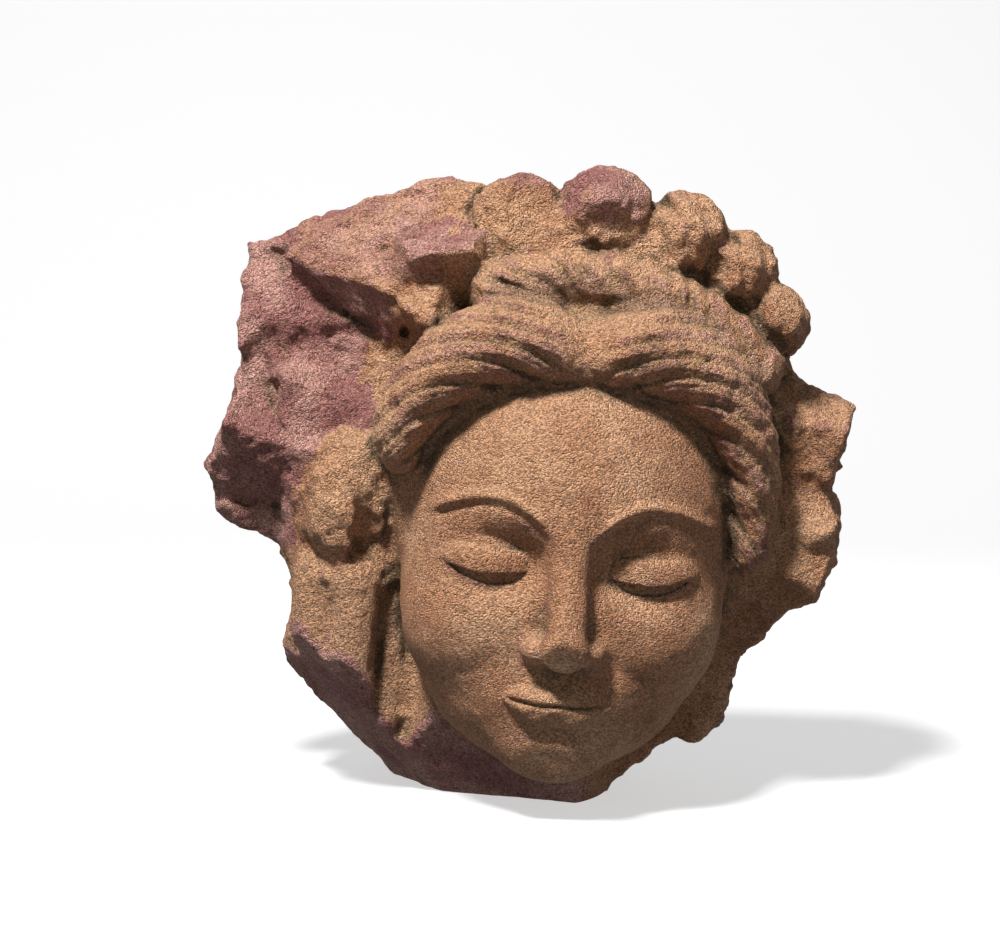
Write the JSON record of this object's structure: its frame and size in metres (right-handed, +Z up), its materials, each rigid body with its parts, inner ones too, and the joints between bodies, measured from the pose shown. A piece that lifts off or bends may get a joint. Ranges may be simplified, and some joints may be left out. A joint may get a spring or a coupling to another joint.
{
  "type": "stone deity head sculpture",
  "caption": "Carved red sandstone head with parted hair, a row of round curls and a long ear, broken from a relief; stands on its flat underside.",
  "frame": {"origin": "middle of the stone's box, at the level of its underside", "axes": "+Z up, -Y the way the face looks, +X to the right of a person who looks at the face"},
  "size_m": [0.227, 0.1284, 0.2195],
  "materials": {
    "sandstone": "rough grainy sandstone, tan patina on the carving, purple-pink on the breaks"
  },
  "bodies": {
    "root": {"deity_head": "sandstone"}
  },
  "joints": []
}
